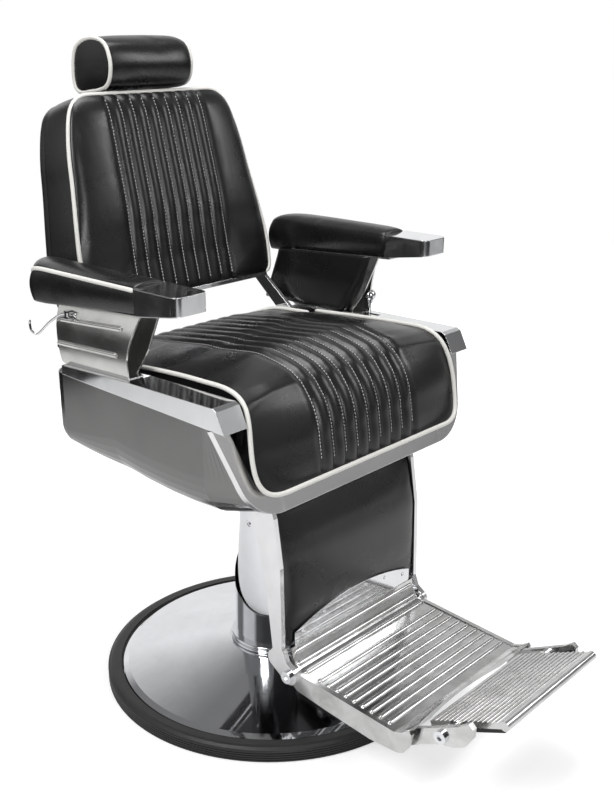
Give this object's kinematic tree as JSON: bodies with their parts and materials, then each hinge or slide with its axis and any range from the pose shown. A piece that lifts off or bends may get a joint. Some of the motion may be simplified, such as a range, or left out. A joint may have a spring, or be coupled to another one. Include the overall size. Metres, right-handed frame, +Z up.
{
  "type": "barber chair",
  "caption": "Hydraulic barber chair with reclining fluted back, sliding headrest, swinging leg rest, flip-over step, chrome hull and round swivel base.",
  "frame": {"origin": "on the floor at the centre of the round base, on the column axis", "axes": "+Z up, the chair faces -Y, the sitter's left is +X"},
  "size_m": [0.68, 1.023, 1.1804],
  "materials": {
    "chrome": "polished",
    "band_metal": "polished, slightly brushed",
    "cast_aluminium": "polished casting",
    "black_vinyl": "smooth, semi-gloss",
    "rubber": "matte, ribbed",
    "black_steel": "satin black",
    "cast_iron": "painted black",
    "bare_steel": "machined",
    "bronze": "machined",
    "plywood": "unfinished"
  },
  "bodies": {
    "base": {"base_rim": "rubber", "base_cover": "chrome", "base_casting": "cast_iron", "base_bolts": "bare_steel", "pump_flange": "chrome", "pump_shroud": "chrome", "pump_reservoir": "cast_iron", "pump_barrel": "bare_steel"},
    "pedal": {"pedal_arm": "chrome", "pedal_pad": "rubber"},
    "lift": {"ram": "bare_steel", "thrust_ring": "bronze"},
    "seat": {"swivel_hub": "cast_iron", "column_sleeve": "chrome", "sleeve_bolt": "chrome", "under_frame": "black_steel", "pivot_pins": "bare_steel", "left_rail": "chrome", "right_rail": "chrome", "left_skirt": "chrome", "right_skirt": "chrome", "front_band": "band_metal", "seat_board": "plywood", "seat_cushion": "black_vinyl", "left_arm_frame": "chrome", "right_arm_frame": "chrome", "left_arm_panel": "black_vinyl", "right_arm_panel": "black_vinyl", "left_arm_pad": "black_vinyl", "right_arm_pad": "black_vinyl", "left_arm_tip": "chrome", "right_arm_tip": "chrome", "hook_staple": "chrome", "hinge_blocks": "black_steel", "leg_brackets": "bare_steel", "lever_bracket": "black_steel"},
    "back": {"back_links": "chrome", "crossbar": "bare_steel", "back_rail": "chrome", "back_plate": "black_steel", "back_cushion": "black_vinyl", "back_shell": "black_vinyl", "headrest_socket": "black_steel"},
    "headrest": {"headrest_post": "chrome", "headrest_cushion": "black_vinyl"},
    "leg_rest": {"left_leg_bar": "chrome", "right_leg_bar": "chrome", "calf_board": "plywood", "calf_pad": "black_vinyl", "kick_plate": "chrome", "foot_lugs": "chrome", "foot_plate": "cast_aluminium", "foot_bolts": "chrome", "step_pins": "chrome"},
    "step": {"step_flap": "cast_aluminium", "step_rubber": "rubber"},
    "leg_link": {"leg_link": "bare_steel"},
    "recline_lever": {"lever_rod": "chrome", "lever_knob": "chrome"},
    "hook": {"towel_hook": "chrome"}
  },
  "joints": [
    {"name": "seat_lift", "type": "slide", "parent": "base", "child": "lift", "axis": [0, 0, 1], "range_m": [0, 0.15]},
    {"name": "seat_swivel", "type": "hinge", "parent": "lift", "child": "seat", "pos_m": [0, 0, 0.47], "axis": [0, 0, 1], "continuous": true},
    {"name": "back_recline", "type": "hinge", "parent": "seat", "child": "back", "pos_m": [0, 0.175, 0.638], "axis": [-1, 0, 0], "range_deg": [0, 50]},
    {"name": "headrest_slide", "type": "slide", "parent": "back", "child": "headrest", "axis": [0, 0.1874, 0.9823], "range_m": [0, 0.09]},
    {"name": "leg_rest_swing", "type": "hinge", "parent": "seat", "child": "leg_rest", "pos_m": [0, -0.16, 0.468], "axis": [-1, 0, 0], "range_deg": [0, 55]},
    {"name": "step_flip", "type": "hinge", "parent": "leg_rest", "child": "step", "pos_m": [0, -0.515, 0.155], "axis": [-1, 0, 0], "range_deg": [0, 148]},
    {"name": "leg_link_turn", "type": "hinge", "parent": "back", "child": "leg_link", "pos_m": [0, 0.18058, 0.57424], "axis": [-1, 0, 0], "range_deg": [-51, 0]},
    {"name": "pump_pedal", "type": "hinge", "parent": "base", "child": "pedal", "pos_m": [0.0654, 0.05888, 0.096], "axis": [-0.6691, 0.7431, 0], "range_deg": [0, 8], "stiffness_Nm_per_rad": 12, "springref_deg": -17.19},
    {"name": "recline_lever", "type": "hinge", "parent": "seat", "child": "recline_lever", "pos_m": [0.294, 0.01, 0.6], "axis": [1, 0, 0], "range_deg": [0, 20], "stiffness_Nm_per_rad": 1.5, "springref_deg": -17.19},
    {"name": "hook_swing", "type": "hinge", "parent": "seat", "child": "hook", "pos_m": [-0.313, 0.172, 0.736], "axis": [0, 0, 1], "range_deg": [0, 90]}
  ],
  "couplings": [
    {"joint": "leg_rest_swing", "follows": "back_recline", "ratio": 1.1},
    {"joint": "leg_link_turn", "follows": "back_recline", "ratio": -1.0105}
  ]
}
